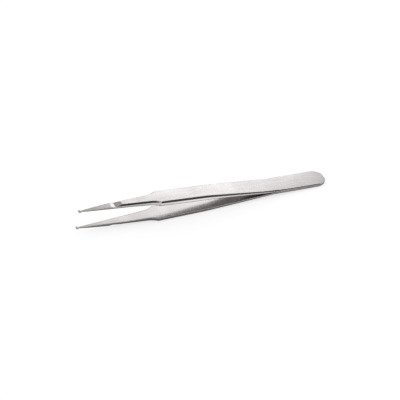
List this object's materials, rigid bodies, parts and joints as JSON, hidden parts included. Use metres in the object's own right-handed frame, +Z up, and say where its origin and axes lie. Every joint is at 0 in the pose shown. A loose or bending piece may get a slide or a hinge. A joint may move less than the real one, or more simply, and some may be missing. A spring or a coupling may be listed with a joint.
{
  "type": "anti-static tweezers",
  "caption": "Fine-pointed flat steel tweezers: two sprung arms joined face to face at the rear, with shouldered, ground points that end in small cross pads.",
  "frame": {"origin": "on the surface that the tweezers lie on, below the middle of their length and width", "axes": "+Z up, +X from the tips to the joined rear end, +Y across the arms"},
  "size_m": [0.12, 0.0098, 0.0126],
  "materials": {
    "satin_steel": "satin ground stainless steel"
  },
  "bodies": {
    "root": {"upper_arm": "satin_steel", "lower_arm": "satin_steel"}
  },
  "joints": []
}
